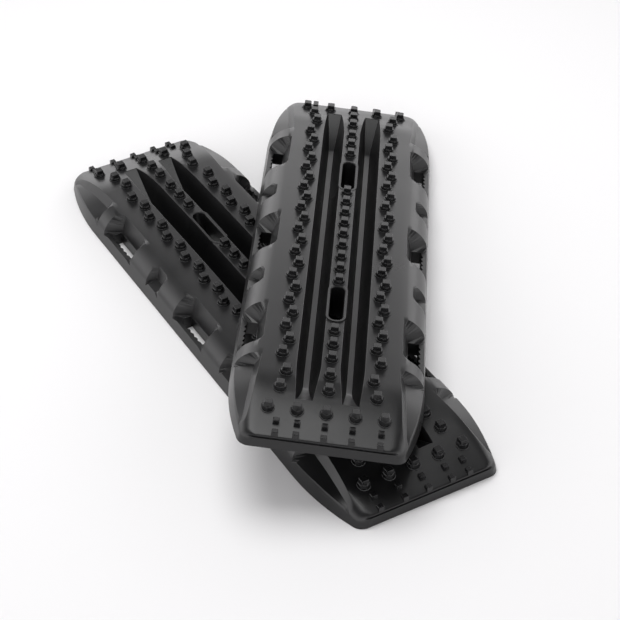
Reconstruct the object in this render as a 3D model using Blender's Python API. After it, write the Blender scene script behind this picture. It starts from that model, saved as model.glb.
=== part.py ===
"""A pair of traction boards: two identical moulded boards, the upper one leaning across the lower.

Metres, +Z up. Each board is modelled about the centre of its flat base, with its length along Y,
its width along X and its deck facing +Z. The lower board keeps that frame. The upper board is the
same moulding turned round, yawed across the lower one, and tipped until it rests on the lower
board's row of studs and on one corner. An empty then moves both, so that the origin is the middle
of the pair's footprint, at ground level.
"""

import math

import bmesh
import bpy
from mathutils import Matrix, Vector

for old in list(bpy.data.objects):
    bpy.data.objects.remove(old, do_unlink=True)

# ---------------------------------------------------------------- one board: overall sizes
BOARD_LENGTH = 1.150
BOARD_WIDTH = 0.330
ACROSS = BOARD_WIDTH / 0.330  # sizes across the board are given for this width and follow it
DECK_HEIGHT = 0.0645  # at mid length
CROWN_RADIUS = 12.6  # of the deck's gentle arch along the board
RAMP_LENGTH = 0.125  # each end's down-curving tip
RAMP_DROP = 0.0278
TAPER_LENGTH = 0.175  # where the sides curve in towards the tip
TAPER_RADIUS = 0.500
CORNER_RADIUS = 0.012
WALL = 0.0035
RIB = 0.0035
FLOOR = 0.008  # height of a channel's floor

# shoulder between the deck's edge and the foot: width inwards, and share of the deck's height
SHOULDER = (
    (0.0480, 1.000),
    (0.0400, 0.968),
    (0.0275, 0.880),
    (0.0160, 0.730),
    (0.0075, 0.540),
    (0.0050, 0.375),
    (0.0000, 0.000),
)

# ---------------------------------------------------------------- channels and spine slots
CHANNEL_INNER = 0.016 * ACROSS
CHANNEL_OUTER = 0.057 * ACROSS
CHANNEL_END_INNER = 0.0245 * ACROSS
CHANNEL_END_OUTER = 0.0525 * ACROSS
CHANNEL_END_INSET = 0.077  # from the board's end
CHANNEL_FLOOR_WIDTH = 0.010 * ACROSS
CHANNEL_RAMP = 0.090  # where its floor climbs to the deck, and it narrows
SLOT_CENTRE = 0.224
SLOT_LENGTH = 0.106
SLOT_WIDTH = 0.025
RIM_WIDTH = 0.005
RIM_HEIGHT = 0.0015

# ---------------------------------------------------------------- openings along the sides
HAND_PITCH = 0.302
HAND_LENGTH = 0.120
HAND_SLOPE = 0.018  # run of the sloping facet at each end
HAND_EDGE = 0.118 * ACROSS
HAND_FOOT = 0.130 * ACROSS
RAIL_WIDTH = 0.015
RAIL_HEIGHT = 0.024
GRIP_PITCH = 0.014
GRIP_DEPTH = 0.0035
POCKET_CENTRE = 0.150
POCKET_LENGTH = 0.050
POCKET_SLOPE = 0.010
POCKET_EDGE = 0.131 * ACROSS
POCKET_FOOT = 0.140 * ACROSS
POCKET_FLOOR = 0.033
CORNER_START = 0.392
CORNER_SLOPE = 0.014
CORNER_END_INSET = 0.027
CORNER_EDGE = 0.1160 * ACROSS
CORNER_FOOT = 0.1260 * ACROSS
CORNER_DRIFT = 0.0090 * ACROSS  # how far the pocket's wall moves outwards along its length
CORNER_FLOOR_SHARE = 0.69  # of the deck's height there
CREASE_DEPTH = 0.0025
CREASE_HEIGHT = 0.004
LIP_HEIGHT = 0.0011

# ---------------------------------------------------------------- studs and pegs
STUD_HEIGHT = 0.014
COLLAR_ACROSS = 0.0195
COLLAR_TOP_ACROSS = 0.0180
COLLAR_HEIGHT = 0.0068
TIP_ACROSS = 0.0145
TIP_TOP_ACROSS = 0.0125
STUD_PITCH = 0.078
OUTER_COLUMN = 0.083 * ACROSS
INNER_COLUMN = 0.074 * ACROSS
END_ROW_INSET = 0.0535
END_ROW_PITCH = 0.0477 * ACROSS
PEG_ACROSS = 0.011
PEG_HEIGHT = 0.0065
PEG_ROW_INSET = 0.028
PEG_ROW_PITCH = 0.0215
PEG_COLUMN = 0.045 * ACROSS
PEG_CORNER_OUT = 0.092 * ACROSS
PEG_CORNER_IN = 0.079 * ACROSS

# ---------------------------------------------------------------- how the upper board lies
UPPER_YAW = math.radians(180.0 - 32.9)
UPPER_ACROSS = 0.148
UPPER_ALONG = -0.016
REST_GAP = 0.0003

HALF_LENGTH = BOARD_LENGTH / 2
HALF_WIDTH = BOARD_WIDTH / 2
CHANNEL_END = HALF_LENGTH - CHANNEL_END_INSET
CORNER_END = HALF_LENGTH - CORNER_END_INSET
CHANNEL_MIDDLE = (CHANNEL_INNER + CHANNEL_OUTER) / 2
CHANNEL_FOOT_INNER = CHANNEL_MIDDLE - CHANNEL_FLOOR_WIDTH / 2 - WALL
CHANNEL_FOOT_OUTER = CHANNEL_MIDDLE + CHANNEL_FLOOR_WIDTH / 2 + WALL
BELOW = -0.010
ABOVE = 0.030


def deck_height(y):
    """Height of the deck at a place along the board."""
    along = abs(y)
    past = max(0.0, along - (HALF_LENGTH - RAMP_LENGTH))
    arch = along * along / (2 * CROWN_RADIUS)
    return DECK_HEIGHT - arch - RAMP_DROP * (past / RAMP_LENGTH) ** 1.5


def half_width(y):
    """Half of the width at the foot at a place along the board."""
    taper = max(0.0, abs(y) - (HALF_LENGTH - TAPER_LENGTH))
    corner = max(0.0, abs(y) - (HALF_LENGTH - CORNER_RADIUS))
    inwards = TAPER_RADIUS - math.sqrt(TAPER_RADIUS**2 - taper**2)
    rounding = CORNER_RADIUS - math.sqrt(max(0.0, CORNER_RADIUS**2 - corner**2))
    return HALF_WIDTH - inwards - rounding


def shoulder(y):
    """The (x, z) points of the right-hand shoulder, from the deck's edge down to the foot."""
    height = deck_height(y)
    scale = height / DECK_HEIGHT * ACROSS
    width = half_width(y)
    return [(width - inset * scale, height * share) for inset, share in SHOULDER]


# ---------------------------------------------------------------- mesh helpers
design = bpy.data.collections.new("traction_boards")
cutters = bpy.data.collections.new("cutters")
bpy.context.scene.collection.children.link(design)
bpy.context.scene.collection.children.link(cutters)


def tidy(mesh, planar):
    """Turns each closed shell outwards, and triangulates a mesh whose faces aren't all planar."""
    work = bmesh.new()
    work.from_mesh(mesh)
    if not planar:
        bmesh.ops.triangulate(work, faces=work.faces, quad_method="FIXED", ngon_method="EAR_CLIP")
    bmesh.ops.recalc_face_normals(work, faces=work.faces)
    work.to_mesh(mesh)
    work.free()


def make_object(name, shells, collection=cutters, planar=False):
    """One object from a list of closed shells, each a pair (points, faces)."""
    points = []
    faces = []
    for shell_points, shell_faces in shells:
        start = len(points)
        points += shell_points
        faces += [tuple(start + i for i in face) for face in shell_faces]
    mesh = bpy.data.meshes.new(name)
    mesh.from_pydata([Vector(p) for p in points], [], faces)
    mesh.validate()
    tidy(mesh, planar)
    made = bpy.data.objects.new(name, mesh)
    collection.objects.link(made)
    if collection is cutters:
        made.hide_render = True
        made.display_type = "WIRE"
    return made


def loft(rings):
    """A closed shell through rings of equally many points."""
    count = len(rings[0])
    points = [p for ring in rings for p in ring]
    faces = [tuple(range(count)), tuple(range((len(rings) - 1) * count, len(rings) * count))]
    for r in range(len(rings) - 1):
        for i in range(count):
            j = (i + 1) % count
            a = r * count
            b = a + count
            faces.append((a + i, a + j, b + j, b + i))
    return points, faces


def along_board(stations):
    """A loft through (y, [(x, z), ...]) sections."""
    return loft([[(x, y, z) for x, z in outline] for y, outline in stations])


def upright(outline, low, high):
    """A prism from a plan outline [(x, y), ...] between two heights."""
    return loft([[(x, y, low) for x, y in outline], [(x, y, high) for x, y in outline]])


def stadium(centre, length, width, steps=6):
    """The plan outline of a slot that lies along Y, with round ends."""
    radius = width / 2
    reach = length / 2 - radius
    outline = []
    for end in (1, -1):
        for i in range(steps + 1):
            angle = math.pi * i / steps + (0 if end > 0 else math.pi)
            outline.append((radius * math.cos(angle), centre + end * reach + radius * math.sin(angle)))
    return outline


def mirrored(shells, axis):
    """The shells and their images across X (axis 0) or Y (axis 1)."""
    images = []
    for points, faces in shells:
        flipped = [tuple(-v if k == axis else v for k, v in enumerate(p)) for p in points]
        images.append((flipped, faces))
    return list(shells) + images


def four_ways(shells):
    return mirrored(mirrored(shells, 0), 1)


def apply_boolean(target, other, operation):
    """Adds one exact Boolean to a board."""
    step = target.modifiers.new(other.name, "BOOLEAN")
    step.operation = operation
    step.solver = "EXACT"
    step.object = other


# ---------------------------------------------------------------- the outer form
def outer_form(name):
    """The board without its openings, as a loft of full cross-sections."""
    from_end = (0.0, 0.002, 0.006, 0.012, 0.022, 0.042, 0.068, 0.096, 0.125, 0.150)
    half = [HALF_LENGTH - inset for inset in from_end]
    straight = HALF_LENGTH - TAPER_LENGTH
    half += [straight * share / 5 for share in (5, 4, 3, 2, 1)]
    places = sorted(half + [0.0] + [-y for y in half])
    stations = []
    for y in places:
        right = shoulder(y)
        left = [(-x, z) for x, z in reversed(right)]
        stations.append((y, left + right))
    return make_object(name, [along_board(stations)], design)


# ---------------------------------------------------------------- channels along the deck
def channel_cutter(name):
    """Both channels: leaning sides down to a narrow floor, which climbs and widens at each end."""
    start = CHANNEL_END - CHANNEL_RAMP
    top = DECK_HEIGHT + ABOVE

    def section(y):
        climb = max(0.0, (y - start) / CHANNEL_RAMP) ** 1.3
        inner = CHANNEL_INNER + (CHANNEL_END_INNER - CHANNEL_INNER) * climb
        outer = CHANNEL_OUTER + (CHANNEL_END_OUTER - CHANNEL_OUTER) * climb
        half = CHANNEL_FLOOR_WIDTH / 2 * (1 - climb)
        left = (CHANNEL_MIDDLE - half) * (1 - climb) + (inner + 0.0008) * climb
        right = (CHANNEL_MIDDLE + half) * (1 - climb) + (outer - 0.0008) * climb
        mouth = deck_height(y) + 0.0003
        floor = FLOOR + (deck_height(CHANNEL_END) - 0.0010 - FLOOR) * climb
        lean = min(0.35, (left - inner) / (mouth - floor))
        rise = lean * (top - mouth)
        return [
            (inner - rise, top),
            (inner, mouth),
            (left, floor),
            (right, floor),
            (outer, mouth),
            (outer + rise, top),
        ]

    half = [start * share / 3 for share in (1, 2, 3)]
    half += [start + CHANNEL_RAMP * share for share in (0.3, 0.55, 0.8, 1.0)]
    stations = [(-y, section(y)) for y in reversed(half)] + [(0.0, section(0.0))]
    stations += [(y, section(y)) for y in half]
    return make_object(name, mirrored([along_board(stations)], 0))


# ---------------------------------------------------------------- openings along the sides
def scoop(start, end, slope, edge, wall_foot, floor_share, floor_level, fall, drift=0.0):
    """A cut into the right-hand shoulder, open to the side, with a sloping facet at each end.

    The wall runs down from the deck at x = edge to x = wall_foot, where the floor starts at a share
    of the deck's height or at a fixed level, and falls towards the side. The wall moves outwards by
    the drift along the scoop.
    """

    def deep(y):
        out = drift * (y - start) / (end - start)
        top = edge + out
        foot = wall_foot + out
        height = deck_height(y)
        level = floor_level if floor_level is not None else height * floor_share
        drop = height - level
        lean = (foot - top) / drop
        line = [(top - lean * ABOVE, height + ABOVE)]
        line += [(top + lean * drop * share, height - drop * share) for share in (0.0, 0.3, 0.65, 1.0)]
        reach = half_width(y) - foot
        line += [(foot + reach * share, level - fall * reach * share) for share in (0.6, 0.95)]
        return line

    def shallow(y):
        line = deep(y)
        top, height = line[1]
        margin = 0.002 if drift else 0.004
        skin = [(top, height)] + [p for p in shoulder(y) if p[0] > top + margin][:5]
        while len(skin) < 6:
            skin.append(skin[-1])
        raised = [line[0], (top, height + 0.0004)]
        for (sx, sz), (dx, dz) in zip(skin[1:], line[2:]):
            raised.append((sx + 0.12 * (sx - dx), sz + 0.12 * (sz - dz)))
        return raised

    def closed(y, line):
        side = half_width(y) + 0.030
        last_x, last_z = line[-1]
        outer_z = last_z - fall * (side - last_x)
        return line + [(side, outer_z), (side, deck_height(y) + ABOVE)]

    stations = [
        (start, closed(start, shallow(start))),
        (start + slope, closed(start + slope, deep(start + slope))),
        ((start + end) / 2, closed((start + end) / 2, deep((start + end) / 2))),
        (end - slope, closed(end - slope, deep(end - slope))),
        (end, closed(end, shallow(end))),
    ]
    return along_board(stations)


def hand_scoop(centre):
    half = HAND_LENGTH / 2
    return scoop(
        centre - half, centre + half, HAND_SLOPE, HAND_EDGE, HAND_FOOT, None, RAIL_HEIGHT, 0.0
    )


def hand_hole(centre):
    """The hole through the board under a hand scoop, with finger grips along the rail."""
    half = HAND_LENGTH / 2 - HAND_SLOPE
    outer = HALF_WIDTH - RAIL_WIDTH
    count = int(2 * half / GRIP_PITCH)
    first = centre - count * GRIP_PITCH / 2
    outline = [(HAND_FOOT + 0.0005, centre + half), (HAND_FOOT + 0.0005, centre - half)]
    outline.append((outer, centre - half))
    for i in range(count):
        tooth = first + i * GRIP_PITCH
        outline.append((outer, tooth + 0.1 * GRIP_PITCH))
        outline.append((outer + GRIP_DEPTH, tooth + 0.7 * GRIP_PITCH))
        outline.append((outer, tooth + 0.9 * GRIP_PITCH))
    outline.append((outer, centre + half))
    return upright(outline, BELOW, RAIL_HEIGHT + 0.004)


def side_pocket(centre):
    half = POCKET_LENGTH / 2
    return scoop(
        centre - half, centre + half, POCKET_SLOPE, POCKET_EDGE, POCKET_FOOT, None, POCKET_FLOOR, 0.27
    )


def corner_pocket():
    return scoop(
        CORNER_START,
        CORNER_END,
        CORNER_SLOPE,
        CORNER_EDGE,
        CORNER_FOOT,
        CORNER_FLOOR_SHARE,
        None,
        0.34,
        CORNER_DRIFT,
    )


def side_cutters():
    """The cutters of one board's sides, as (name, shells)."""
    scoops = mirrored([hand_scoop(-HAND_PITCH), hand_scoop(0.0), hand_scoop(HAND_PITCH)], 0)
    holes = mirrored([hand_hole(-HAND_PITCH), hand_hole(0.0), hand_hole(HAND_PITCH)], 0)
    pockets = four_ways([side_pocket(POCKET_CENTRE), corner_pocket()])
    return scoops, holes, pockets


# ---------------------------------------------------------------- the hollow underside
def cell(start, end, outline_at, steps=1):
    """One hollow between ribs, open below, through the sections that outline_at(y) gives."""
    low = start + RIB / 2
    high = end - RIB / 2
    places = [low + (high - low) * i / steps for i in range(steps + 1)]
    return along_board([(y, outline_at(y)) for y in places])


def under_shoulder(y):
    """Hollow section from a channel's wall out to the shoulder."""
    ceiling = deck_height(y) - WALL
    right = shoulder(y)
    return [
        (CHANNEL_FOOT_OUTER, BELOW),
        (CHANNEL_FOOT_OUTER, FLOOR),
        (CHANNEL_OUTER + WALL, ceiling),
        (right[0][0] - 0.5 * WALL, ceiling),
        (right[2][0] - 0.7 * WALL, right[2][1] - 0.9 * WALL),
        (right[3][0] - 0.9 * WALL, right[3][1] - 0.7 * WALL),
        (right[4][0] - WALL, right[4][1] - 0.3 * WALL),
        (right[6][0] - WALL, 0.0),
        (right[6][0] - WALL, BELOW),
    ]


def under_hand(y):
    """Hollow section beside a hand opening."""
    ceiling = deck_height(y) - WALL
    return [
        (CHANNEL_FOOT_OUTER, BELOW),
        (CHANNEL_FOOT_OUTER, FLOOR),
        (CHANNEL_OUTER + WALL, ceiling),
        (HAND_EDGE - WALL, ceiling),
        (HAND_FOOT - 1.2 * WALL, RAIL_HEIGHT),
        (HAND_FOOT - 1.2 * WALL, BELOW),
    ]


def under_pocket(edge, foot, level_at, fall):
    """Section maker for the hollow under a blind pocket."""

    def outline(y):
        ceiling = deck_height(y) - WALL
        level = level_at(y)
        out = half_width(y) - 2.2 * WALL
        return [
            (CHANNEL_FOOT_OUTER, BELOW),
            (CHANNEL_FOOT_OUTER, FLOOR),
            (CHANNEL_OUTER + WALL, ceiling),
            (edge - 1.3 * WALL, ceiling),
            (foot - WALL, level - WALL),
            (out, level - fall * (out - foot) - 1.2 * WALL),
            (out, BELOW),
        ]

    return outline


def under_spine(y):
    ceiling = deck_height(y) - WALL
    half = CHANNEL_INNER - WALL
    foot = CHANNEL_FOOT_INNER
    right = [(half, ceiling), (foot, FLOOR), (foot, BELOW)]
    return [(-x, z) for x, z in reversed(right)] + right


def under_ramp(y):
    """Hollow section across the board between the channels' ends and its tip."""
    half = CORNER_EDGE - 2 * WALL
    ceiling = deck_height(y) - WALL
    return [(-half, BELOW), (-half, ceiling), (half, ceiling), (half, BELOW)]


def under_tip(y):
    """Hollow section across the board's tip, beyond the corner pockets."""
    right = shoulder(y)
    ceiling = deck_height(y) - WALL
    points = [
        (right[0][0] - 0.5 * WALL, ceiling),
        (right[3][0] - WALL, right[3][1] - 0.8 * WALL),
        (right[6][0] - 1.2 * WALL, 0.0),
        (right[6][0] - 1.2 * WALL, BELOW),
    ]
    return [(-x, z) for x, z in reversed(points)] + points


def split(start, end, count):
    """Equal stretches between two places."""
    step = (end - start) / count
    return [(start + i * step, start + (i + 1) * step) for i in range(count)]


def underside_cutter(name):
    """Every hollow under one board. The ribs are what is left between them."""
    hand = HAND_LENGTH / 2 + RIB
    pocket = POCKET_LENGTH / 2 + RIB / 2
    low_pocket = under_pocket(POCKET_EDGE, POCKET_FOOT, lambda y: POCKET_FLOOR, 0.27)
    low_corner = under_pocket(
        CORNER_EDGE, CORNER_FOOT, lambda y: CORNER_FLOOR_SHARE * deck_height(y), 0.34
    )
    ramp_start = CHANNEL_END + 0.5 * RIB
    tip_start = CORNER_END + 0.5 * RIB
    shells = [
        cell(hand, POCKET_CENTRE - pocket, under_shoulder),
        cell(POCKET_CENTRE - pocket, POCKET_CENTRE + pocket, low_pocket),
        cell(POCKET_CENTRE + pocket, HAND_PITCH - hand, under_shoulder),
    ]
    shells += [cell(a, b, under_hand) for a, b in split(HAND_PITCH - hand, HAND_PITCH + hand, 2)]
    shells.append(cell(HAND_PITCH + hand, CORNER_START - RIB / 2, under_shoulder))
    shells += [cell(a, b, low_corner) for a, b in split(CORNER_START - RIB / 2, ramp_start, 2)]
    shells = mirrored(shells, 0)
    middle = mirrored([cell(-hand, hand, under_hand)], 0)
    slot_reach = SLOT_LENGTH / 2 + RIM_WIDTH - RIB / 2
    spine = [cell(a, b, under_spine) for a, b in split(RIB / 2, SLOT_CENTRE - slot_reach, 2)]
    spine += [cell(a, b, under_spine) for a, b in split(SLOT_CENTRE + slot_reach, ramp_start, 3)]
    tip = [cell(ramp_start, tip_start, under_ramp, 2)]
    tip.append(cell(tip_start, HALF_LENGTH - CREASE_DEPTH - 0.5 * WALL, under_tip))
    return make_object(name, middle + mirrored(shells + spine + tip, 1))


# ---------------------------------------------------------------- studs and pegs
def stud_places():
    """Plan places of one board's studs."""
    places = []
    for end in (-1, 1):
        row = end * (HALF_LENGTH - END_ROW_INSET)
        places += [(i * END_ROW_PITCH, row) for i in (-2, -1, 0, 1, 2)]
        for side in (-1, 1):
            places.append((side * (OUTER_COLUMN - 0.0032), end * (HALF_LENGTH - 0.097)))
            places.append((side * (INNER_COLUMN - 0.0014), end * (HALF_LENGTH - 0.136)))
    for side in (-1, 1):
        places += [(side * OUTER_COLUMN, i * STUD_PITCH) for i in range(-5, 6)]
        places += [(side * INNER_COLUMN, (i + 0.5) * STUD_PITCH) for i in range(-5, 5)]
    places += [(0.0, i * STUD_PITCH / 2) for i in range(-4, 5)]
    for end in (-1, 1):
        for offset in (0.0, 0.040, 0.079, 0.1265, 0.1645):
            places.append((0.0, end * (HALF_LENGTH - 0.265 + offset)))
    return places


def polygon(x, y, across, sides, turn):
    """Plan outline of a regular polygon, measured across its flats."""
    radius = across / 2 / math.cos(math.pi / sides)
    angles = [turn + 2 * math.pi * i / sides for i in range(sides)]
    return [(x + radius * math.cos(a), y + radius * math.sin(a)) for a in angles]


def standing(x, y, low, high, across, top_across, sides, turn):
    """A tapered upright post on the deck. A low of None starts it inside the wall under its foot."""
    base = deck_height(y)
    foot = polygon(x, y, across, sides, turn)
    head = polygon(x, y, top_across, sides, turn)
    if low is None:
        bottom = min(deck_height(py) for px, py in foot) - 0.4 * WALL
    else:
        bottom = base + low
    rings = [[(px, py, bottom) for px, py in foot], [(px, py, base + high) for px, py in head]]
    return loft(rings)


def stud_objects(prefix):
    """The collars and the square tips of one board's studs."""
    collar = (None, COLLAR_HEIGHT, COLLAR_ACROSS, COLLAR_TOP_ACROSS, 6, math.pi / 6)
    tip = (COLLAR_HEIGHT - 0.001, STUD_HEIGHT, TIP_ACROSS, TIP_TOP_ACROSS, 4, math.pi / 4)
    collars = [standing(x, y, *collar) for x, y in stud_places()]
    tips = [standing(x, y, *tip) for x, y in stud_places()]
    made = make_object(prefix + "_collars", collars, planar=True)
    return made, make_object(prefix + "_tips", tips, planar=True)


def peg_object(name):
    """The small square pegs along both ends."""
    peg = (None, PEG_HEIGHT, PEG_ACROSS, 0.9 * PEG_ACROSS, 4, math.pi / 4)
    pegs = []
    for end in (-1, 1):
        for row in (PEG_ROW_INSET, PEG_ROW_INSET - PEG_ROW_PITCH):
            for x in (-PEG_CORNER_OUT, -PEG_COLUMN, 0.0, PEG_COLUMN, PEG_CORNER_IN):
                pegs.append(standing(x, end * (HALF_LENGTH - row), *peg))
    return make_object(name, pegs, planar=True)


# ---------------------------------------------------------------- one whole board
def make_board(name, material):
    scoops, holes, pockets = side_cutters()
    board = outer_form(name)
    rims = [
        upright(
            stadium(SLOT_CENTRE, SLOT_LENGTH + 2 * RIM_WIDTH, SLOT_WIDTH + 2 * RIM_WIDTH),
            0.001,
            deck_height(SLOT_CENTRE) + RIM_HEIGHT,
        )
    ]
    slots = [upright(stadium(SLOT_CENTRE, SLOT_LENGTH, SLOT_WIDTH), BELOW, DECK_HEIGHT + ABOVE)]
    crease_top = deck_height(HALF_LENGTH) - LIP_HEIGHT
    crease_low = crease_top - CREASE_HEIGHT
    crease_depth = HALF_LENGTH - CREASE_DEPTH
    crease = [
        along_board(
            [
                (crease_depth, [(-HALF_WIDTH, crease_top), (-HALF_WIDTH, crease_low),
                                (HALF_WIDTH, crease_low), (HALF_WIDTH, crease_top)]),
                (HALF_LENGTH + 0.01, [(-HALF_WIDTH, crease_top), (-HALF_WIDTH, crease_low - 0.001),
                                      (HALF_WIDTH, crease_low - 0.001), (HALF_WIDTH, crease_top)]),
            ]
        )
    ]
    apply_boolean(board, channel_cutter(name + "_channels"), "DIFFERENCE")
    apply_boolean(board, make_object(name + "_rims", mirrored(rims, 1)), "UNION")
    apply_boolean(board, make_object(name + "_scoops", scoops), "DIFFERENCE")
    apply_boolean(board, make_object(name + "_pockets", pockets), "DIFFERENCE")
    apply_boolean(board, underside_cutter(name + "_underside"), "DIFFERENCE")
    apply_boolean(board, make_object(name + "_holes", holes), "DIFFERENCE")
    apply_boolean(board, make_object(name + "_slots", mirrored(slots, 1)), "DIFFERENCE")
    apply_boolean(board, make_object(name + "_creases", mirrored(crease, 1)), "DIFFERENCE")
    collars, tips = stud_objects(name)
    apply_boolean(board, collars, "UNION")
    apply_boolean(board, tips, "UNION")
    apply_boolean(board, peg_object(name + "_pegs"), "UNION")
    board.data.materials.append(material)
    return board


def plastic(name, shade, roughness):
    """A dark moulded plastic."""
    made = bpy.data.materials.new(name)
    made.use_nodes = True
    shader = made.node_tree.nodes["Principled BSDF"]
    shader.inputs["Base Color"].default_value = (shade, shade, shade * 1.04, 1.0)
    shader.inputs["Roughness"].default_value = roughness
    shader.inputs["Metallic"].default_value = 0.0
    return made


# ---------------------------------------------------------------- how the two boards lie
def upper_place():
    """The upper board's place: turned round, yawed, and leaning on the studs and one corner."""
    yaw = Matrix.Rotation(UPPER_YAW, 4, "Z")
    corner_inset = CORNER_RADIUS * (1 - math.sqrt(0.5))
    corner_x = half_width(HALF_LENGTH - CORNER_RADIUS) - corner_inset
    corner = Vector((-corner_x, -(HALF_LENGTH - corner_inset), 0.0))
    rest_x = OUTER_COLUMN + TIP_TOP_ACROSS / 2
    rest_z = DECK_HEIGHT + STUD_HEIGHT + REST_GAP
    lean = 0.0
    for _ in range(12):
        tip = Matrix.Rotation(lean, 4, "Y") @ yaw
        reach = UPPER_ACROSS + (tip @ corner).x - rest_x
        lean = math.atan2(rest_z, reach)
    tip = Matrix.Rotation(lean, 4, "Y") @ yaw
    height = rest_z - math.tan(lean) * (UPPER_ACROSS - rest_x)
    return Matrix.Translation((UPPER_ACROSS, UPPER_ALONG, height)) @ tip


lower = make_board("lower_board", plastic("black_plastic_lower", 0.020, 0.42))
upper = make_board("upper_board", plastic("black_plastic_upper", 0.020, 0.42))

placement = bpy.data.objects.new("pair_placement", None)
design.objects.link(placement)
for piece in [lower, upper] + [o for o in cutters.objects]:
    piece.parent = placement
upper.matrix_local = upper_place()
for cutter in cutters.objects:
    if cutter.name.startswith("upper_board"):
        cutter.matrix_local = upper_place()

# the middle of the pair's footprint becomes the origin
bpy.context.view_layer.update()
graph = bpy.context.evaluated_depsgraph_get()
corners = []
for piece in (lower, upper):
    solid = piece.evaluated_get(graph)
    corners += [solid.matrix_world @ v.co for v in solid.data.vertices]
low = Vector([min(c[k] for c in corners) for k in range(3)])
high = Vector([max(c[k] for c in corners) for k in range(3)])
placement.location = (-(low.x + high.x) / 2, -(low.y + high.y) / 2, -low.z)
bpy.context.view_layer.update()
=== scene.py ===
"""Looks for the pair of traction boards.

Each CAD board is replaced by a finer one in the same place: a body with rounded edges, and its studs
and pegs. Sizes are in metres. A board is modelled about the centre of its flat base, with its length
along Y, and then put where the CAD board lies.
"""

import math

import bmesh
import bpy
from mathutils import Matrix, Vector


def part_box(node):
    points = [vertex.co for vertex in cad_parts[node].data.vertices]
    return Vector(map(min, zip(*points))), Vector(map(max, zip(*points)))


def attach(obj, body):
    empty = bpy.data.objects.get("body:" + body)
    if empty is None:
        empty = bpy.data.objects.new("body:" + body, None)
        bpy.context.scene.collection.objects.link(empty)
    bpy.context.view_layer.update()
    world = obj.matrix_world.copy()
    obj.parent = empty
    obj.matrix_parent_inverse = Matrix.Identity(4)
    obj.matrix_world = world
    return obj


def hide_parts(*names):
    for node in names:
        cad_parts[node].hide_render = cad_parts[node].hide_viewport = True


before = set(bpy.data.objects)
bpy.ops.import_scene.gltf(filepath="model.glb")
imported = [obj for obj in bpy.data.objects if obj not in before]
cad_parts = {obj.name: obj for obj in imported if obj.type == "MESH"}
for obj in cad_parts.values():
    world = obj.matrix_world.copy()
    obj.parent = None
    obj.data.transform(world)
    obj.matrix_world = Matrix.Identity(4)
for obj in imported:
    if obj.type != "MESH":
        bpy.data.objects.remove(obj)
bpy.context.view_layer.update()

# ---------------------------------------------------------------- sizes, as in the CAD unless noted
BOARD_LENGTH = 1.150
BOARD_WIDTH = 0.330
DECK_HEIGHT = 0.0645
CROWN_RADIUS = 12.6
RAMP_LENGTH = 0.125
RAMP_DROP = 0.0278
TAPER_LENGTH = 0.175
TAPER_RADIUS = 0.500
CORNER_RADIUS = 0.0140  # a little rounder than the CAD's, to stay inside its box
CAD_CORNER_RADIUS = 0.012
WALL = 0.0035
RIB = 0.0035
FLOOR = 0.008
SHOULDER = (
    (0.0480, 1.000),
    (0.0400, 0.968),
    (0.0275, 0.880),
    (0.0160, 0.730),
    (0.0075, 0.540),
    (0.0050, 0.375),
    (0.0000, 0.000),
)
DOME = ((0.0660, 1.000), (0.0560, 0.998), (0.0480, 0.988))  # in place of the shoulder's first point
CHANNEL_INNER = 0.016
CHANNEL_OUTER = 0.057
CHANNEL_END_INNER = 0.0245
CHANNEL_END_OUTER = 0.0525
CHANNEL_END_INSET = 0.077
CHANNEL_FLOOR_WIDTH = 0.010
CHANNEL_RAMP = 0.090
SLOT_CENTRE = 0.224
SLOT_LENGTH = 0.106
SLOT_WIDTH = 0.025
RIM_WIDTH = 0.005
RIM_HEIGHT = 0.0015
HAND_PITCH = 0.302
HAND_LENGTH = 0.120
HAND_SLOPE = 0.018
HAND_EDGE = 0.118
HAND_FOOT = 0.130
RAIL_WIDTH = 0.015
RAIL_HEIGHT = 0.024
GRIP_PITCH = 0.014
GRIP_DEPTH = 0.0035
POCKET_CENTRE = 0.150
POCKET_LENGTH = 0.050
POCKET_SLOPE = 0.010
POCKET_EDGE = 0.131
POCKET_FOOT = 0.140
POCKET_FLOOR = 0.033
CORNER_START = 0.392
CORNER_SLOPE = 0.014
CORNER_END_INSET = 0.027
CORNER_EDGE = 0.1160
CORNER_FOOT = 0.1260
CORNER_DRIFT = 0.0090
CORNER_FLOOR_SHARE = 0.69
CREASE_DEPTH = 0.003
CREASE_HEIGHT = 0.0042
LIP_HEIGHT = 0.0014
STUD_HEIGHT = 0.014
COLLAR_ACROSS = 0.0190
COLLAR_HEIGHT = 0.0066
TIP_ACROSS = 0.0148
TIP_TOP_ACROSS = 0.0132
RING_RADIUS = 0.0120
RING_HEIGHT = 0.0016
STUD_PITCH = 0.078
OUTER_COLUMN = 0.083
INNER_COLUMN = 0.074
END_ROW_INSET = 0.0535
END_ROW_PITCH = 0.0477
PEG_ACROSS = 0.0110
PEG_HEIGHT = 0.0065
PEG_ROW_INSET = 0.028
PEG_ROW_PITCH = 0.0215
PEG_COLUMN = 0.045
PEG_CORNER_OUT = 0.092
PEG_CORNER_IN = 0.079
UPPER_YAW = math.radians(180.0 - 32.9)
UPPER_ALONG = -0.016
UPPER_ACROSS = 0.148
REST_GAP = 0.0003
CAD_TIP_TOP_ACROSS = 0.0125

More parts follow.
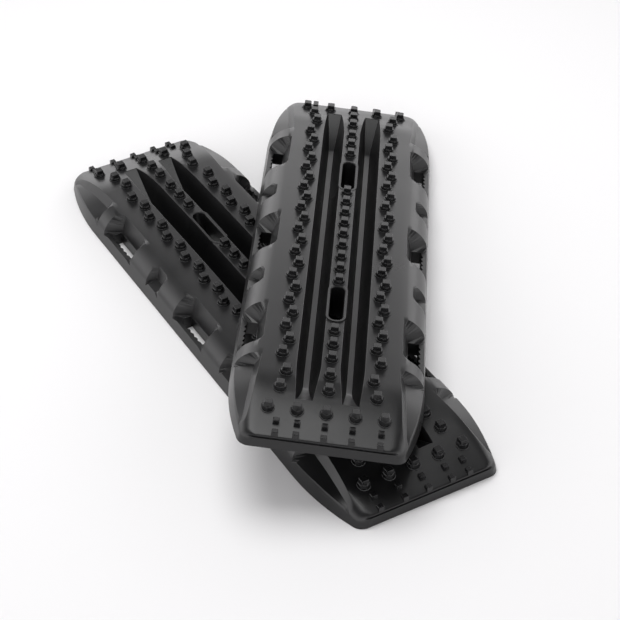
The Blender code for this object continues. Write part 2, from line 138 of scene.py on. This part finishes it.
HALF_LENGTH = BOARD_LENGTH / 2
HALF_WIDTH = BOARD_WIDTH / 2
CHANNEL_END = HALF_LENGTH - CHANNEL_END_INSET
CORNER_END = HALF_LENGTH - CORNER_END_INSET
CHANNEL_MIDDLE = (CHANNEL_INNER + CHANNEL_OUTER) / 2
CHANNEL_FOOT_INNER = CHANNEL_MIDDLE - CHANNEL_FLOOR_WIDTH / 2 - WALL
CHANNEL_FOOT_OUTER = CHANNEL_MIDDLE + CHANNEL_FLOOR_WIDTH / 2 + WALL
BELOW = -0.010
ABOVE = 0.030
EDGE = 0.0012  # rounding along the channels
SCOOP_STEPS = 8  # down a scoop's wall
SCOOP_SPACING = 0.018  # between its cross-sections
END_EDGE = 0.0030  # rounding along the deck's two ends
SHARP_ANGLE = math.radians(18)


def deck_height(y):
    along = abs(y)
    past = max(0.0, along - (HALF_LENGTH - RAMP_LENGTH))
    return DECK_HEIGHT - along * along / (2 * CROWN_RADIUS) - RAMP_DROP * (past / RAMP_LENGTH) ** 1.5


def half_width(y, radius=CORNER_RADIUS):
    taper = max(0.0, abs(y) - (HALF_LENGTH - TAPER_LENGTH))
    corner = max(0.0, abs(y) - (HALF_LENGTH - radius))
    inwards = TAPER_RADIUS - math.sqrt(TAPER_RADIUS**2 - taper**2)
    rounding = radius - math.sqrt(max(0.0, radius**2 - corner**2))
    return HALF_WIDTH - inwards - rounding


def softened(points, times):
    """Cuts the corners of a line, so that it turns smoothly and stays inside the old one."""
    for _ in range(times):
        line = [points[0]]
        for (ax, az), (bx, bz) in zip(points, points[1:]):
            line.append((0.75 * ax + 0.25 * bx, 0.75 * az + 0.25 * bz))
            line.append((0.25 * ax + 0.75 * bx, 0.25 * az + 0.75 * bz))
        line.append(points[-1])
        points = line
    return points


def shoulder(y):
    """The (x, z) points of the right-hand shoulder, from the deck's edge down to the foot."""
    height = deck_height(y)
    scale = height / DECK_HEIGHT
    width = half_width(y)
    smooth = DOME + SHOULDER[1:]
    return softened([(width - inset * scale, height * share) for inset, share in smooth], 2)


def shoulder_at(y, x):
    """Height of the right-hand shoulder above a place x."""
    line = shoulder(y)
    if x <= line[0][0]:
        return deck_height(y)
    for (ax, az), (bx, bz) in zip(line, line[1:]):
        if ax <= x <= bx and bx > ax:
            return az + (bz - az) * (x - ax) / (bx - ax)
    return 0.0


# ---------------------------------------------------------------- mesh helpers
workshop = bpy.data.collections.new("workshop")
bpy.context.scene.collection.children.link(workshop)


def make_object(name, shells, planar=False):
    """One object from closed shells, each a pair (points, faces)."""
    points = []
    faces = []
    for shell_points, shell_faces in shells:
        start = len(points)
        points += shell_points
        faces += [tuple(start + i for i in face) for face in shell_faces]
    mesh = bpy.data.meshes.new(name)
    mesh.from_pydata([Vector(p) for p in points], [], faces)
    mesh.validate()
    work = bmesh.new()
    work.from_mesh(mesh)
    if not planar:
        bmesh.ops.triangulate(work, faces=work.faces, quad_method="FIXED", ngon_method="EAR_CLIP")
    bmesh.ops.recalc_face_normals(work, faces=work.faces)
    work.to_mesh(mesh)
    work.free()
    made = bpy.data.objects.new(name, mesh)
    workshop.objects.link(made)
    return made


def loft(rings):
    count = len(rings[0])
    points = [p for ring in rings for p in ring]
    faces = [tuple(range(count)), tuple(range((len(rings) - 1) * count, len(rings) * count))]
    for r in range(len(rings) - 1):
        for i in range(count):
            j = (i + 1) % count
            a = r * count
            b = a + count
            faces.append((a + i, a + j, b + j, b + i))
    return points, faces


def along_board(stations):
    return loft([[(x, y, z) for x, z in outline] for y, outline in stations])


def upright(outline, low, high):
    return loft([[(x, y, low) for x, y in outline], [(x, y, high) for x, y in outline]])


def stadium(centre, length, width, steps=14):
    radius = width / 2
    reach = length / 2 - radius
    outline = []
    for end in (1, -1):
        for i in range(steps + 1):
            angle = math.pi * i / steps + (0 if end > 0 else math.pi)
            outline.append((radius * math.cos(angle), centre + end * reach + radius * math.sin(angle)))
    return outline


def mirrored(shells, axis):
    images = []
    for points, faces in shells:
        flipped = [tuple(-v if k == axis else v for k, v in enumerate(p)) for p in points]
        images.append((flipped, faces))
    return list(shells) + images


def four_ways(shells):
    return mirrored(mirrored(shells, 0), 1)


# ---------------------------------------------------------------- the body of a board
def outer_form(name):
    """The board without its openings, with its deck rounded over at both ends."""
    places = [0.0]
    while places[-1] < HALF_LENGTH - 0.030:
        places.append(places[-1] + 0.018)
    for inset in (0.012, 0.0095, 0.007, 0.005, 0.0035, 0.0022, 0.0012, 0.0005, 0.0):
        places.append(HALF_LENGTH - inset)
    places = sorted(places + [-y for y in places[1:]])
    stations = []
    for y in places:
        past = max(0.0, abs(y) - (HALF_LENGTH - END_EDGE))
        drop = END_EDGE - math.sqrt(max(0.0, END_EDGE**2 - past**2))
        drop *= 0.6
        top = deck_height(y) - drop
        right = [(x, min(z, top)) for x, z in shoulder(y)]
        left = [(-x, z) for x, z in reversed(right)]
        stations.append((y, left + right))
    return make_object(name, [along_board(stations)])


def channel_cutter(name):
    """Both channels: leaning sides down to a narrow floor, which climbs and widens at each end."""
    start = CHANNEL_END - CHANNEL_RAMP

    def section(y):
        climb = max(0.0, (abs(y) - start) / CHANNEL_RAMP) ** 1.3
        inner = CHANNEL_INNER + (CHANNEL_END_INNER - CHANNEL_INNER) * climb
        outer = CHANNEL_OUTER + (CHANNEL_END_OUTER - CHANNEL_OUTER) * climb
        half = CHANNEL_FLOOR_WIDTH / 2 * (1 - climb)
        left = (CHANNEL_MIDDLE - half) * (1 - climb) + (inner + 0.0008) * climb
        right = (CHANNEL_MIDDLE + half) * (1 - climb) + (outer - 0.0008) * climb
        deck = deck_height(y)
        floor = FLOOR + (deck_height(CHANNEL_END) - 0.0010 - FLOOR) * climb
        edge = min(EDGE, 0.4 * (deck - floor))

        def side(mouth, foot):
            out = -1.0 if mouth < foot else 1.0
            lean = min(0.35, abs(foot - mouth) / (deck - floor))
            line = [(mouth + out * (edge + 0.006), deck + 0.018), (mouth + out * edge, deck + 0.0002)]
            for share in (0.33, 0.66, 1.0):
                angle = math.pi / 2 * share
                over = edge * (1 - math.sin(angle))
                down = edge * (1 - math.cos(angle))
                line.append((mouth + out * over - out * lean * down, deck - down))
            return line + [(foot, floor)]

        return side(inner, left) + side(outer, right)[::-1]

    half = [start * i / 16 for i in range(16)]
    half += [start + CHANNEL_RAMP * i / 12 for i in range(13)]
    stations = [(y, section(y)) for y in [-v for v in reversed(half[1:])] + half]
    return make_object(name, mirrored([along_board(stations)], 0))


def scoop(start, end, slope, edge, wall_foot, floor_share, floor_level, fall, drift=0.0):
    """A cut into the right-hand shoulder, open to the side, with a sloping facet at each end.

    Its wall moves outwards by the drift along the cut.
    """

    def deep(y, edge_x, foot_x):
        height = deck_height(y)
        level = floor_level if floor_level is not None else height * floor_share
        drop = height - level
        lean = (foot_x - edge_x) / drop
        line = [(edge_x - lean * ABOVE, height + ABOVE), (edge_x, height)]
        for i in range(1, SCOOP_STEPS + 1):
            share = i / SCOOP_STEPS
            line.append((edge_x + lean * drop * share, height - drop * share))
        reach = half_width(y) - foot_x
        line += [(foot_x + reach * s, level - fall * reach * s) for s in (0.3, 0.65, 0.95)]
        return line

    def shallow(y, edge_x, foot_x):
        line = deep(y, edge_x, foot_x)
        outer = half_width(y) - 0.004
        raised = [line[0], (edge_x, deck_height(y) + 0.0003)]
        rest = line[2:]
        for i, (dx, dz) in enumerate(rest):
            x = edge_x + (outer - edge_x) * math.sin(0.5 * math.pi * (i + 1) / len(rest)) ** 0.9
            z = shoulder_at(y, x)
            raised.append((x + 0.06 * (x - dx), z + 0.06 * (z - dz)))
        return raised

    def closed(y, line):
        side = half_width(y) + 0.030
        last_x, last_z = line[-1]
        return line + [(side, last_z - fall * (side - last_x)), (side, deck_height(y) + ABOVE)]

    def moved(y):
        return drift * (y - start) / (end - start)

    places = [start, start + slope]
    inner = max(3, int((end - start - 2 * slope) / SCOOP_SPACING))
    places += [start + slope + (end - start - 2 * slope) * i / inner for i in range(1, inner)]
    places += [end - slope, end]
    stations = []
    for y in places:
        edge_x = edge + moved(y)
        foot_x = wall_foot + moved(y)
        shape = shallow if y in (start, end) else deep
        stations.append((y, closed(y, shape(y, edge_x, foot_x))))
    return along_board(stations)


def hand_scoop(centre):
    half = HAND_LENGTH / 2
    return scoop(
        centre - half, centre + half, HAND_SLOPE, HAND_EDGE, HAND_FOOT, None, RAIL_HEIGHT, 0.0
    )


def hand_hole(centre):
    """The hole through the board under a hand scoop, with finger grips along the rail."""
    half = HAND_LENGTH / 2 - HAND_SLOPE
    outer = HALF_WIDTH - RAIL_WIDTH
    count = int(2 * half / GRIP_PITCH)
    first = centre - count * GRIP_PITCH / 2
    outline = [(HAND_FOOT + 0.0005, centre + half), (HAND_FOOT + 0.0005, centre - half)]
    outline.append((outer, centre - half))
    for i in range(count):
        tooth = first + i * GRIP_PITCH
        outline.append((outer, tooth + 0.1 * GRIP_PITCH))
        outline.append((outer + GRIP_DEPTH, tooth + 0.7 * GRIP_PITCH))
        outline.append((outer, tooth + 0.9 * GRIP_PITCH))
    outline.append((outer, centre + half))
    return upright(outline, BELOW, RAIL_HEIGHT + 0.004)


def side_pocket(centre):
    half = POCKET_LENGTH / 2
    return scoop(
        centre - half, centre + half, POCKET_SLOPE, POCKET_EDGE, POCKET_FOOT, None, POCKET_FLOOR, 0.27
    )


def corner_pocket():
    return scoop(
        CORNER_START,
        CORNER_END,
        CORNER_SLOPE,
        CORNER_EDGE,
        CORNER_FOOT,
        CORNER_FLOOR_SHARE,
        None,
        0.34,
        CORNER_DRIFT,
    )


# ---------------------------------------------------------------- the hollow underside, as in the CAD
def cell(start, end, outline_at, steps=1):
    low = start + RIB / 2
    high = end - RIB / 2
    places = [low + (high - low) * i / steps for i in range(steps + 1)]
    return along_board([(y, outline_at(y)) for y in places])


def rough_shoulder(y):
    height = deck_height(y)
    scale = height / DECK_HEIGHT
    width = half_width(y)
    return [(width - inset * scale, height * share) for inset, share in SHOULDER]


def under_shoulder(y):
    ceiling = deck_height(y) - WALL
    right = rough_shoulder(y)
    return [
        (CHANNEL_FOOT_OUTER, BELOW),
        (CHANNEL_FOOT_OUTER, FLOOR),
        (CHANNEL_OUTER + WALL, ceiling),
        (right[0][0] - 0.5 * WALL, ceiling),
        (right[2][0] - 0.9 * WALL, right[2][1] - 0.9 * WALL),
        (right[3][0] - 0.9 * WALL, right[3][1] - 0.9 * WALL),
        (right[4][0] - WALL, right[4][1] - 0.3 * WALL),
        (right[6][0] - WALL, 0.0),
        (right[6][0] - WALL, BELOW),
    ]


def under_hand(y):
    ceiling = deck_height(y) - WALL
    return [
        (CHANNEL_FOOT_OUTER, BELOW),
        (CHANNEL_FOOT_OUTER, FLOOR),
        (CHANNEL_OUTER + WALL, ceiling),
        (HAND_EDGE - WALL, ceiling),
        (HAND_FOOT - 1.2 * WALL, RAIL_HEIGHT),
        (HAND_FOOT - 1.2 * WALL, BELOW),
    ]


def under_pocket(edge, foot, level_at, fall):
    def outline(y):
        ceiling = deck_height(y) - WALL
        level = level_at(y)
        out = half_width(y) - 2.2 * WALL
        return [
            (CHANNEL_FOOT_OUTER, BELOW),
            (CHANNEL_FOOT_OUTER, FLOOR),
            (CHANNEL_OUTER + WALL, ceiling),
            (edge - 1.3 * WALL, ceiling),
            (foot - WALL, level - WALL),
            (out, level - fall * (out - foot) - 1.2 * WALL),
            (out, BELOW),
        ]

    return outline


def under_ramp(y):
    half = CORNER_EDGE - 2 * WALL
    ceiling = deck_height(y) - WALL
    return [(-half, BELOW), (-half, ceiling), (half, ceiling), (half, BELOW)]


def under_tip(y):
    right = rough_shoulder(y)
    ceiling = deck_height(y) - WALL
    points = [
        (right[0][0] - 0.5 * WALL, ceiling),
        (right[3][0] - WALL, right[3][1] - 0.8 * WALL),
        (right[6][0] - 1.2 * WALL, 0.0),
        (right[6][0] - 1.2 * WALL, BELOW),
    ]
    return [(-x, z) for x, z in reversed(points)] + points


def under_spine(y):
    ceiling = deck_height(y) - WALL
    half = CHANNEL_INNER - WALL
    foot = CHANNEL_FOOT_INNER
    right = [(half, ceiling), (foot, FLOOR), (foot, BELOW)]
    return [(-x, z) for x, z in reversed(right)] + right


def split(start, end, count):
    step = (end - start) / count
    return [(start + i * step, start + (i + 1) * step) for i in range(count)]


def underside_cutter(name):
    hand = HAND_LENGTH / 2 + RIB
    pocket = POCKET_LENGTH / 2 + RIB / 2
    low_pocket = under_pocket(POCKET_EDGE, POCKET_FOOT, lambda y: POCKET_FLOOR, 0.27)
    low_corner = under_pocket(
        CORNER_EDGE, CORNER_FOOT, lambda y: CORNER_FLOOR_SHARE * deck_height(y), 0.34
    )
    ramp_start = CHANNEL_END + 0.5 * RIB
    tip_start = CORNER_END + 0.5 * RIB
    shells = [
        cell(hand, POCKET_CENTRE - pocket, under_shoulder),
        cell(POCKET_CENTRE - pocket, POCKET_CENTRE + pocket, low_pocket),
        cell(POCKET_CENTRE + pocket, HAND_PITCH - hand, under_shoulder),
    ]
    shells += [cell(a, b, under_hand) for a, b in split(HAND_PITCH - hand, HAND_PITCH + hand, 2)]
    shells.append(cell(HAND_PITCH + hand, CORNER_START - RIB / 2, under_shoulder))
    shells += [cell(a, b, low_corner) for a, b in split(CORNER_START - RIB / 2, ramp_start, 2)]
    shells = mirrored(shells, 0)
    middle = mirrored([cell(-hand, hand, under_hand)], 0)
    slot_reach = SLOT_LENGTH / 2 + RIM_WIDTH - RIB / 2
    spine = [cell(a, b, under_spine) for a, b in split(RIB / 2, SLOT_CENTRE - slot_reach, 2)]
    spine += [cell(a, b, under_spine) for a, b in split(SLOT_CENTRE + slot_reach, ramp_start, 3)]
    tip = [cell(ramp_start, tip_start, under_ramp, 2)]
    tip.append(cell(tip_start, HALF_LENGTH - CREASE_DEPTH - 0.5 * WALL, under_tip))
    return make_object(name, middle + mirrored(shells + spine + tip, 1))


def crease_cutter(name):
    """The dark line under the lip at each end."""
    top = deck_height(HALF_LENGTH) - LIP_HEIGHT
    low = top - CREASE_HEIGHT
    mouth = [(-HALF_WIDTH, top + 0.0006), (-HALF_WIDTH, low - 0.001), (HALF_WIDTH, low - 0.001)]
    mouth.append((HALF_WIDTH, top + 0.0006))
    root = [(-HALF_WIDTH, top - 0.0006), (-HALF_WIDTH, low + 0.0004), (HALF_WIDTH, low + 0.0004)]
    root.append((HALF_WIDTH, top - 0.0006))
    shells = [along_board([(HALF_LENGTH - CREASE_DEPTH, root), (HALF_LENGTH + 0.004, mouth)])]
    return make_object(name, mirrored(shells, 1))


def rounded_slots(name):
    deck = deck_height(SLOT_CENTRE) + RIM_HEIGHT
    flare = 0.0012
    narrow = stadium(SLOT_CENTRE, SLOT_LENGTH, SLOT_WIDTH)
    wide = stadium(SLOT_CENTRE, SLOT_LENGTH + 2 * flare, SLOT_WIDTH + 2 * flare)
    rings = [[(x, y, BELOW) for x, y in narrow], [(x, y, deck - flare) for x, y in narrow]]
    rings += [[(x, y, deck + 0.0002) for x, y in wide], [(x, y, deck + ABOVE) for x, y in wide]]
    return make_object(name, mirrored([loft(rings)], 1))


def board_body(name):
    """The moulding without studs, as one mesh with every Boolean applied."""
    body = outer_form(name)
    rim_outline = stadium(SLOT_CENTRE, SLOT_LENGTH + 2 * RIM_WIDTH, SLOT_WIDTH + 2 * RIM_WIDTH)
    rims = [upright(rim_outline, 0.001, deck_height(SLOT_CENTRE) + RIM_HEIGHT)]
    centres = (-HAND_PITCH, 0.0, HAND_PITCH)
    steps = [
        (channel_cutter("channels"), "DIFFERENCE"),
        (make_object("rims", mirrored(rims, 1)), "UNION"),
        (make_object("scoops", mirrored([hand_scoop(c) for c in centres], 0)), "DIFFERENCE"),
        (make_object("pockets", four_ways([side_pocket(POCKET_CENTRE), corner_pocket()])), "DIFFERENCE"),
        (underside_cutter("underside"), "DIFFERENCE"),
        (make_object("holes", mirrored([hand_hole(c) for c in centres], 0)), "DIFFERENCE"),
        (rounded_slots("slots"), "DIFFERENCE"),
        (crease_cutter("creases"), "DIFFERENCE"),
    ]
    for cutter, operation in steps:
        step = body.modifiers.new(cutter.name, "BOOLEAN")
        step.operation = operation
        step.solver = "EXACT"
        step.object = cutter
    bpy.context.view_layer.update()
    graph = bpy.context.evaluated_depsgraph_get()
    mesh = bpy.data.meshes.new_from_object(body.evaluated_get(graph))
    mesh.name = name
    for cutter, _ in steps:
        bpy.data.objects.remove(cutter, do_unlink=True)
    bpy.data.objects.remove(body, do_unlink=True)
    return mesh


# ---------------------------------------------------------------- studs and pegs
def stud_places():
    places = []
    for end in (-1, 1):
        row = end * (HALF_LENGTH - END_ROW_INSET)
        places += [(i * END_ROW_PITCH, row) for i in (-2, -1, 0, 1, 2)]
        for side in (-1, 1):
            places.append((side * (OUTER_COLUMN - 0.0032), end * (HALF_LENGTH - 0.097)))
            places.append((side * (INNER_COLUMN - 0.0014), end * (HALF_LENGTH - 0.136)))
    for side in (-1, 1):
        places += [(side * OUTER_COLUMN, i * STUD_PITCH) for i in range(-5, 6)]
        places += [(side * INNER_COLUMN, (i + 0.5) * STUD_PITCH) for i in range(-5, 5)]
    places += [(0.0, i * STUD_PITCH / 2) for i in range(-4, 5)]
    for end in (-1, 1):
        for offset in (0.0, 0.040, 0.079, 0.1265, 0.1645):
            places.append((0.0, end * (HALF_LENGTH - 0.265 + offset)))
    return places


def rounded_polygon(across, sides, turn, corner, steps):
    """A regular polygon with rounded corners, centred on the origin."""
    apothem = across / 2
    radius = (apothem - corner) / math.cos(math.pi / sides)
    outline = []
    for i in range(sides):
        centre = turn + 2 * math.pi * i / sides
        for k in range(steps + 1):
            angle = centre + math.pi / sides * (2 * k / steps - 1)
            outline.append(
                (
                    radius * math.cos(centre) + corner * math.cos(angle),
                    radius * math.sin(centre) + corner * math.sin(angle),
                )
            )
    return outline


def circle(radius, count):
    return [
        (radius * math.cos(2 * math.pi * i / count), radius * math.sin(2 * math.pi * i / count))
        for i in range(count)
    ]


def stack(x, y, layers):
    """A closed shell through outlines at heights. A True third value makes a layer follow the deck."""
    base = deck_height(y)
    rings = []
    for outline, height, follows in layers:
        ring = []
        for px, py in outline:
            level = deck_height(y + py) if follows else base
            ring.append((x + px, y + py, level + height))
        rings.append(ring)
    return loft(rings)


def stud_shells(x, y):
    """One stud: a low round ring, a hexagonal collar and a square tip."""
    ring = stack(
        x,
        y,
        [
            (circle(RING_RADIUS, 32), -0.001, True),
            (circle(RING_RADIUS, 32), 0.6 * RING_HEIGHT, True),
            (circle(RING_RADIUS - 0.0005, 32), RING_HEIGHT, True),
            (circle(RING_RADIUS - 0.0014, 32), RING_HEIGHT, True),
            (circle(RING_RADIUS - 0.0020, 32), 0.35 * RING_HEIGHT, True),
        ],
    )
    hexagon = [
        rounded_polygon(COLLAR_ACROSS * k, 6, math.pi / 6, 0.0012, 3) for k in (1.0, 0.965, 0.90)
    ]
    collar = stack(
        x,
        y,
        [
            (hexagon[0], -0.001, True),
            (hexagon[1], COLLAR_HEIGHT - 0.0008, False),
            (hexagon[2], COLLAR_HEIGHT, False),
        ],
    )
    across = (TIP_ACROSS, TIP_TOP_ACROSS, TIP_TOP_ACROSS - 0.0012)
    square = [rounded_polygon(a, 4, math.pi / 4, 0.0010, 3) for a in across]
    tip = stack(
        x,
        y,
        [
            (square[0], COLLAR_HEIGHT - 0.001, False),
            (square[1], STUD_HEIGHT - 0.0007, False),
            (square[2], STUD_HEIGHT, False),
        ],
    )
    return [ring, collar, tip]


def peg_shells():
    outlines = [rounded_polygon(PEG_ACROSS * k, 4, math.pi / 4, 0.0008, 3) for k in (1.0, 0.93, 0.78)]
    shells = []
    for end in (-1, 1):
        for row in (PEG_ROW_INSET, PEG_ROW_INSET - PEG_ROW_PITCH):
            for x in (-PEG_CORNER_OUT, -PEG_COLUMN, 0.0, PEG_COLUMN, PEG_CORNER_IN):
                layers = [(outlines[0], -0.001, True), (outlines[1], PEG_HEIGHT - 0.0008, False)]
                layers.append((outlines[2], PEG_HEIGHT, False))
                shells.append(stack(x, end * (HALF_LENGTH - row), layers))
    return shells


# ---------------------------------------------------------------- material
def add(nodes, kind, **values):
    node = nodes.new(kind)
    for key, value in values.items():
        setattr(node, key, value)
    return node


def moulded_plastic(name, seed, edge, smooth, rough):
    """Satin black moulded plastic: fine pimples, slow changes of gloss, faint scuffs, rounded edges."""
    made = bpy.data.materials.new(name)
    made.use_nodes = True
    nodes = made.node_tree.nodes
    link = made.node_tree.links.new
    shader = nodes["Principled BSDF"]
    shader.inputs["Metallic"].default_value = 0.0
    shader.inputs["IOR"].default_value = 1.50
    shader.inputs["Specular IOR Level"].default_value = 0.40
    place = add(nodes, "ShaderNodeTexCoord")
    shift = add(nodes, "ShaderNodeMapping")
    shift.inputs["Location"].default_value = (seed, 0.3 * seed, 0.0)
    link(place.outputs["Object"], shift.inputs["Vector"])

    cloud = add(nodes, "ShaderNodeTexNoise")
    cloud.inputs["Scale"].default_value = 9.0
    cloud.inputs["Detail"].default_value = 5.0
    grain = add(nodes, "ShaderNodeTexNoise")
    grain.inputs["Scale"].default_value = 900.0
    grain.inputs["Detail"].default_value = 3.0
    scuff = add(nodes, "ShaderNodeTexNoise")
    scuff.inputs["Scale"].default_value = 70.0
    scuff.inputs["Detail"].default_value = 8.0
    for texture in (cloud, grain, scuff):
        link(shift.outputs["Vector"], texture.inputs["Vector"])

    gloss = add(nodes, "ShaderNodeMapRange")
    gloss.inputs["From Min"].default_value = 0.3
    gloss.inputs["From Max"].default_value = 0.7
    gloss.inputs["To Min"].default_value = smooth
    gloss.inputs["To Max"].default_value = rough
    link(cloud.outputs["Fac"], gloss.inputs["Value"])
    worn = add(nodes, "ShaderNodeMapRange")
    worn.inputs["From Min"].default_value = 0.62
    worn.inputs["From Max"].default_value = 0.80
    worn.inputs["To Min"].default_value = 0.0
    worn.inputs["To Max"].default_value = 0.10
    link(scuff.outputs["Fac"], worn.inputs["Value"])
    total = add(nodes, "ShaderNodeMath", operation="ADD")
    link(gloss.outputs["Result"], total.inputs[0])
    link(worn.outputs["Result"], total.inputs[1])
    link(total.outputs["Value"], shader.inputs["Roughness"])

    shade = add(nodes, "ShaderNodeValToRGB")
    shade.color_ramp.elements[0].position = 0.30
    shade.color_ramp.elements[0].color = (0.0055, 0.0055, 0.0058, 1.0)
    shade.color_ramp.elements[1].position = 0.75
    shade.color_ramp.elements[1].color = (0.0095, 0.0095, 0.0100, 1.0)
    link(cloud.outputs["Fac"], shade.inputs["Fac"])
    link(shade.outputs["Color"], shader.inputs["Base Color"])

    rounding = add(nodes, "ShaderNodeBevel", samples=6)
    rounding.inputs["Radius"].default_value = edge
    bump = add(nodes, "ShaderNodeBump")
    bump.inputs["Strength"].default_value = 0.10
    bump.inputs["Distance"].default_value = 0.0002
    link(grain.outputs["Fac"], bump.inputs["Height"])
    link(rounding.outputs["Normal"], bump.inputs["Normal"])
    link(bump.outputs["Normal"], shader.inputs["Normal"])
    return made


# ---------------------------------------------------------------- boards in place
def upper_place():
    """Where the upper board lies, as in the CAD."""
    yaw = Matrix.Rotation(UPPER_YAW, 4, "Z")
    corner_inset = CAD_CORNER_RADIUS * (1 - math.sqrt(0.5))
    corner_x = half_width(HALF_LENGTH - CAD_CORNER_RADIUS, CAD_CORNER_RADIUS) - corner_inset
    corner = Vector((-corner_x, -(HALF_LENGTH - corner_inset), 0.0))
    rest_x = OUTER_COLUMN + CAD_TIP_TOP_ACROSS / 2
    rest_z = DECK_HEIGHT + STUD_HEIGHT + REST_GAP
    lean = 0.0
    for _ in range(12):
        tip = Matrix.Rotation(lean, 4, "Y") @ yaw
        reach = UPPER_ACROSS + (tip @ corner).x - rest_x
        lean = math.atan2(rest_z, reach)
    tip = Matrix.Rotation(lean, 4, "Y") @ yaw
    height = rest_z - math.tan(lean) * (UPPER_ACROSS - rest_x)
    return Matrix.Translation((UPPER_ACROSS, UPPER_ALONG, height)) @ tip


lower_low, lower_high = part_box("lower_board")
base = Matrix.Translation(
    ((lower_low[0] + lower_high[0]) / 2, (lower_low[1] + lower_high[1]) / 2, lower_low[2])
)
places = {"lower": base, "upper": base @ upper_place()}

body_mesh = board_body("board_body")
stud_object = make_object("studs", [s for x, y in stud_places() for s in stud_shells(x, y)])
peg_object = make_object("pegs", peg_shells())


def finished(name, mesh, place, material, body):
    """A copy of a mesh put in place, smooth on its curves and sharp at its edges."""
    copy = mesh.copy()
    copy.transform(place)
    copy.materials.clear()
    copy.materials.append(material)
    copy.polygons.foreach_set("use_smooth", [True] * len(copy.polygons))
    copy.set_sharp_from_angle(angle=SHARP_ANGLE)
    made = bpy.data.objects.new(name, copy)
    bpy.context.scene.collection.objects.link(made)
    weights = made.modifiers.new("weights", "WEIGHTED_NORMAL")
    weights.keep_sharp = True
    weights.weight = 60
    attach(made, body)
    return made


for seed, (level, place) in enumerate(places.items()):
    skin = moulded_plastic("satin_black_" + level, 3.7 * seed, 0.0009, 0.27, 0.36)
    cap = moulded_plastic("stud_black_" + level, 3.7 * seed + 1.1, 0.0005, 0.20, 0.28)
    node = level + "_board"
    shell = finished(level + "_shell", body_mesh, place, skin, level)
    finished(level + "_studs", stud_object.data, place, cap, level)
    finished(level + "_pegs", peg_object.data, place, cap, level)
    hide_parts(node)

for leftover in (stud_object, peg_object):
    bpy.data.objects.remove(leftover, do_unlink=True)
bpy.data.collections.remove(workshop)

# ---------------------------------------------------------------- floor, light and camera
def studio():
    """A pale floor, a sky that is brightest near the horizon, and one broad soft light above."""
    floor_mesh = bpy.data.meshes.new("floor")
    reach = 30.0
    floor_mesh.from_pydata(
        [(-reach, -reach, 0), (reach, -reach, 0), (reach, reach, 0), (-reach, reach, 0)], [], [(0, 1, 2, 3)]
    )
    floor = bpy.data.objects.new("floor", floor_mesh)
    floor.location.z = -0.0006
    bpy.context.scene.collection.objects.link(floor)
    paper = bpy.data.materials.new("paper")
    paper.use_nodes = True
    shader = paper.node_tree.nodes["Principled BSDF"]
    shader.inputs["Base Color"].default_value = (0.86, 0.855, 0.86, 1.0)
    shader.inputs["Roughness"].default_value = 0.9
    shader.inputs["Specular IOR Level"].default_value = 0.1
    floor_mesh.materials.append(paper)

    world = bpy.data.worlds.new("studio")
    bpy.context.scene.world = world
    world.use_nodes = True
    nodes = world.node_tree.nodes
    link = world.node_tree.links.new
    sky = nodes["Background"]
    way = add(nodes, "ShaderNodeTexCoord")
    height = add(nodes, "ShaderNodeSeparateXYZ")
    glow = add(nodes, "ShaderNodeValToRGB")
    link(way.outputs["Generated"], height.inputs["Vector"])
    link(height.outputs["Z"], glow.inputs["Fac"])
    link(glow.outputs["Color"], sky.inputs["Color"])
    steps = ((0.0, 1.0), (0.30, 0.95), (0.50, 0.46), (0.62, 0.14), (0.75, 0.05), (1.0, 0.10))
    while len(glow.color_ramp.elements) < len(steps):
        glow.color_ramp.elements.new(0.5)
    for element, (place, level) in zip(glow.color_ramp.elements, steps):
        element.position = place
        element.color = (level, 0.99 * level, level, 1.0)
    sky.inputs["Strength"].default_value = 2.3

    def soft_light(name, where, aim, size, power):
        lamp = bpy.data.lights.new(name, "AREA")
        lamp.shape = "DISK"
        lamp.size = size
        lamp.energy = power
        made = bpy.data.objects.new(name, lamp)
        made.location = where
        made.rotation_euler = (Vector(aim) - Vector(where)).to_track_quat("-Z", "Y").to_euler()
        bpy.context.scene.collection.objects.link(made)

    soft_light("top_light", (-0.2, 0.4, 3.0), (0.0, 0.0, 0.0), 2.4, 62.0)
    bpy.context.scene.view_settings.view_transform = "Standard"


def camera():
    """A long lens from the front left, a little over head height for the boards."""
    lens = bpy.data.cameras.new("camera")
    lens.lens = 115.0
    lens.sensor_width = 36.0
    eye = bpy.data.objects.new("camera", lens)
    bpy.context.scene.collection.objects.link(eye)
    eye.location = (-1.4181, -2.5679, 2.2757)
    eye.rotation_euler = [math.radians(angle) for angle in (51.629, 1.541, -29.186)]
    bpy.context.scene.camera = eye


studio()
camera()
